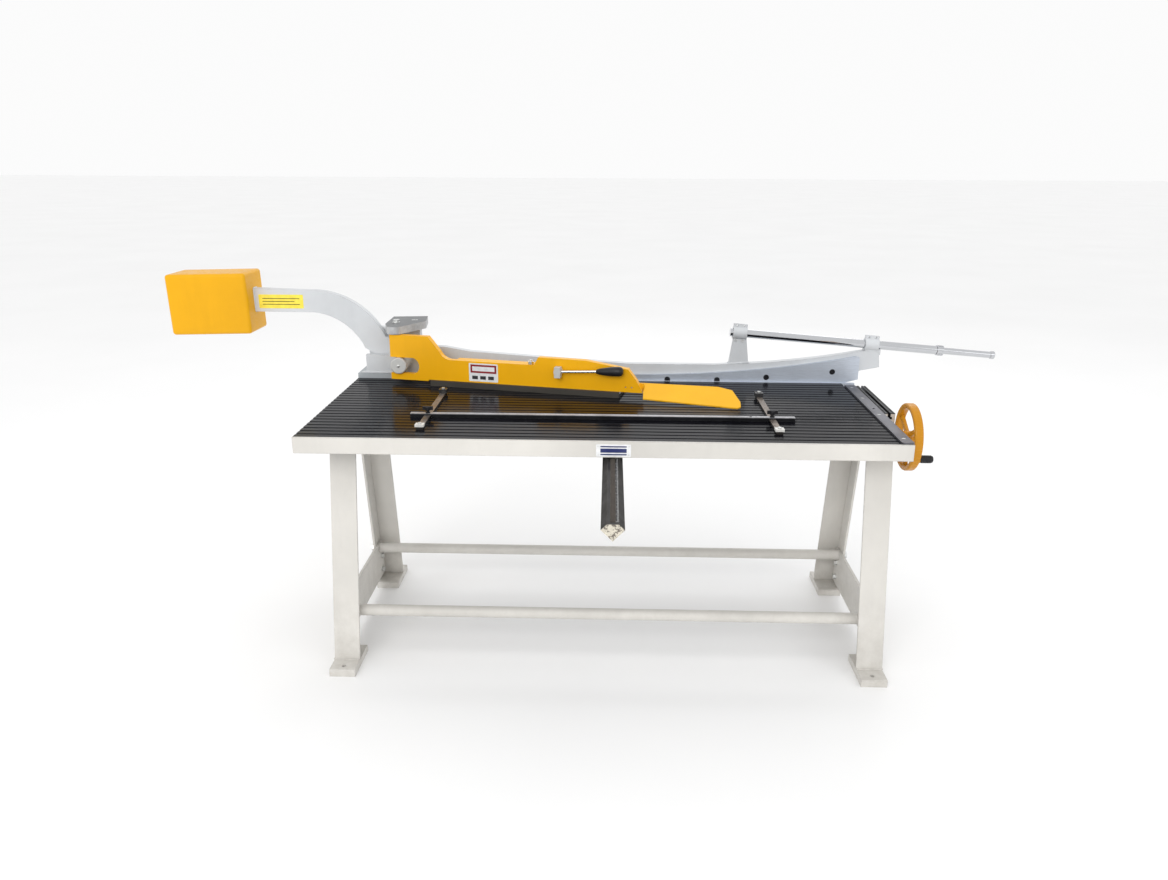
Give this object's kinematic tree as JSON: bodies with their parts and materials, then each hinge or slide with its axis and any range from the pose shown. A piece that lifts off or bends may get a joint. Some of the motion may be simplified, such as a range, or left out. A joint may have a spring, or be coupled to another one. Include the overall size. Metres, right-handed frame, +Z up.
{
  "type": "sheet metal shear",
  "caption": "Floor-standing manual lever shear for sheet metal, with a counterweighted blade arm, cam hold-down, grooved table, front gauge and rack-driven back gauge.",
  "frame": {"origin": "on the floor, at the centre of the four anchor holes in the feet", "axes": "+X right along the table towards the handwheel, +Y away from the operator towards the blade, +Z up"},
  "size_m": [3.1174, 1.453, 1.2206],
  "materials": {
    "cream_paint": "satin cream enamel",
    "arm_grey": "satin pale blue-grey enamel",
    "safety_yellow": "satin yellow enamel",
    "weight_yellow": "satin deep yellow enamel",
    "guard_yellow": "satin bright yellow enamel",
    "wheel_gold": "gloss golden enamel",
    "table_black": "gloss black, grooved",
    "black_paint": "satin black",
    "black_grip": "moulded black",
    "blade_steel": "ground",
    "rail_steel": "ground dark grey",
    "mid_grey": "satin mid grey",
    "dark_steel": "blackened",
    "pad_steel": "dull",
    "ballast": "raw",
    "bright_steel": "polished",
    "screw_steel": "zinc plated",
    "bush_bronze": "turned bronze"
  },
  "bodies": {
    "stand_and_table": {"front_cheek": "arm_grey", "gauge_arm_blocks": "black_paint", "gauge_arms": "dark_steel", "guide_blocks": "black_paint", "hold_down_beam": "safety_yellow", "hold_down_guard": "guard_yellow", "leg_front_left": "cream_paint", "leg_front_right": "cream_paint", "leg_rear_left": "cream_paint", "leg_rear_right": "cream_paint", "lower_blade": "blade_steel", "lower_blade_bed": "cream_paint", "lower_blade_bolts": "screw_steel", "m12_bolts": "screw_steel", "m16_bolts": "screw_steel", "pivot_base": "mid_grey", "pivot_bracket": "cream_paint", "pivot_cap": "mid_grey", "pivot_nut": "screw_steel", "pivot_pin": "blade_steel", "rear_cheek": "arm_grey", "shaft_brackets": "screw_steel", "shaft_bush": "bush_bronze", "side_beam_right": "cream_paint", "side_members": "cream_paint", "side_slot_rail": "black_paint", "small_screws": "screw_steel", "squaring_rail": "rail_steel", "stand_tops": "cream_paint", "stretchers": "cream_paint", "table_frame": "cream_paint", "table_top": "table_black"},
    "blade_arm_body": {"blade_arm": "arm_grey", "arm_bush": "bush_bronze", "upper_blade": "blade_steel", "upper_blade_bolts": "dark_steel", "counterweight_box": "weight_yellow", "counterweight_fill": "ballast", "handle_posts": "arm_grey", "handle_tube": "bright_steel"},
    "extension_rod": {"handle_rod": "bright_steel"},
    "lock_ring_body": {"lock_ring": "bright_steel"},
    "pressure_pad_body": {"pressure_pad": "pad_steel", "pad_studs": "screw_steel"},
    "clamp_lever": {"cam_shaft": "bright_steel", "lever_rod": "bright_steel", "lever_grip": "black_grip"},
    "front_gauge": {"front_gauge_bar": "dark_steel"},
    "thumb_screw_left": {"gauge_clamp_left": "screw_steel"},
    "thumb_screw_right": {"gauge_clamp_right": "screw_steel"},
    "back_gauge": {"guide_bar": "black_paint", "gauge_rack": "screw_steel", "gauge_bracket": "screw_steel", "back_gauge_beam": "black_paint", "back_gauge_screws": "screw_steel"},
    "wheel_and_shaft": {"handwheel": "wheel_gold", "cross_shaft": "screw_steel", "pinion": "screw_steel", "wheel_fasteners": "screw_steel"},
    "crank_grip": {"wheel_grip": "black_grip"}
  },
  "joints": [
    {"name": "arm_hinge", "type": "hinge", "parent": "stand_and_table", "child": "blade_arm_body", "pos_m": [-0.79, 0.429, 0.89], "axis": [0, -1, 0], "range_deg": [0, 30]},
    {"name": "extension_rod_slide", "type": "slide", "parent": "blade_arm_body", "child": "extension_rod", "axis": [0.9969, 0, -0.079], "range_m": [-0.165, 0.25]},
    {"name": "lock_ring_turn", "type": "hinge", "parent": "blade_arm_body", "child": "lock_ring_body", "pos_m": [1.237, 0.429, 0.943], "axis": [0.9969, 0, -0.079], "range_deg": [-45, 45]},
    {"name": "pad_lift", "type": "slide", "parent": "stand_and_table", "child": "pressure_pad_body", "axis": [0, 0, 1], "range_m": [0, 0.008]},
    {"name": "clamp_lever_turn", "type": "hinge", "parent": "stand_and_table", "child": "clamp_lever", "pos_m": [-0.18231, 0.17682, 0.9065], "axis": [-0.2079, -0.9781, 0], "range_deg": [0, 120.5]},
    {"name": "front_gauge_slide", "type": "slide", "parent": "stand_and_table", "child": "front_gauge", "axis": [0, 1, 0], "range_m": [-0.06, 0.09]},
    {"name": "thumb_screw_left_turn", "type": "hinge", "parent": "front_gauge", "child": "thumb_screw_left", "pos_m": [-0.598, -0.14, 0.845], "axis": [0, 0, 1], "range_deg": [-180, 180]},
    {"name": "thumb_screw_right_turn", "type": "hinge", "parent": "front_gauge", "child": "thumb_screw_right", "pos_m": [0.53, -0.14, 0.845], "axis": [0, 0, 1], "range_deg": [-180, 180]},
    {"name": "back_gauge_slide", "type": "slide", "parent": "stand_and_table", "child": "back_gauge", "axis": [0, 1, 0], "range_m": [0, 0.48]},
    {"name": "handwheel_turn", "type": "hinge", "parent": "stand_and_table", "child": "wheel_and_shaft", "pos_m": [0.97, -0.16, 0.7778], "axis": [1, 0, 0], "range_deg": [0, 1530]},
    {"name": "crank_grip_spin", "type": "hinge", "parent": "wheel_and_shaft", "child": "crank_grip", "pos_m": [1, -0.24314, 0.7298], "axis": [1, 0, 0], "continuous": true}
  ],
  "couplings": [
    {"joint": "clamp_lever_turn", "follows": "pad_lift", "rad_per_m": 261.8},
    {"joint": "handwheel_turn", "follows": "back_gauge_slide", "rad_per_m": 55.556}
  ]
}
